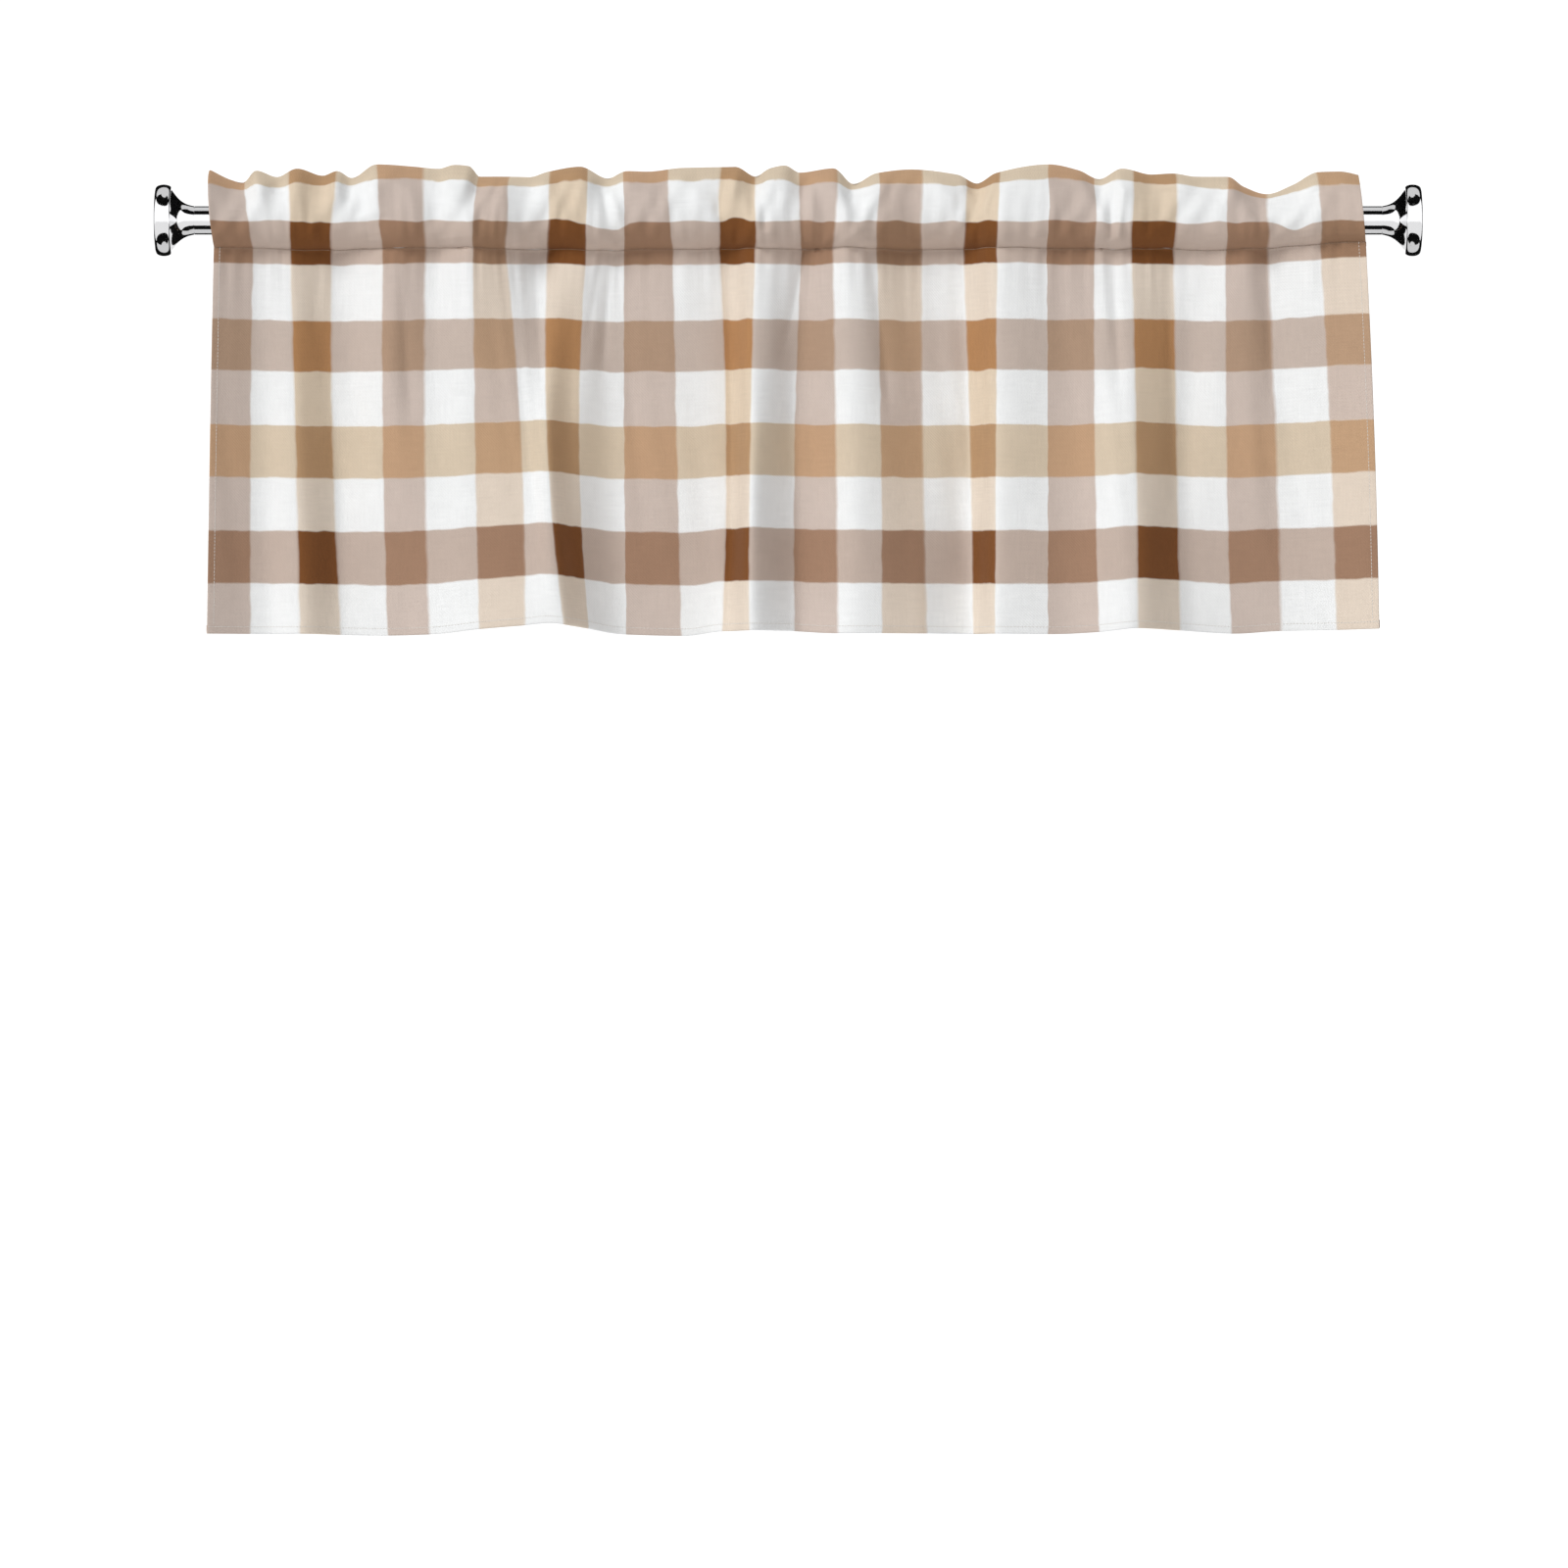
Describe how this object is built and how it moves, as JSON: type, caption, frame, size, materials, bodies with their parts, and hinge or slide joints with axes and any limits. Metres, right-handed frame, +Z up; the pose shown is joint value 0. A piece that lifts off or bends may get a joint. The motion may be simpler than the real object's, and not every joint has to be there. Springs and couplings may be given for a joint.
{
  "type": "window valance with curtain rod",
  "caption": "Short gathered cloth valance with a sewn rod pocket, hanging on a round metal rod with broad trumpet-shaped finials.",
  "frame": {"origin": "on the rod's axis, at the middle of its length", "axes": "+X along the rod to the right as seen from the room, +Y into the window, +Z up"},
  "size_m": [1.2428, 0.071, 0.459],
  "materials": {
    "cloth": "plain woven, printed check in white, sand, taupe and brown",
    "rod": "polished",
    "finial": "polished"
  },
  "bodies": {
    "root": {"valance": "cloth", "rod_tube": "rod", "finial_left": "finial", "finial_right": "finial"}
  },
  "joints": []
}
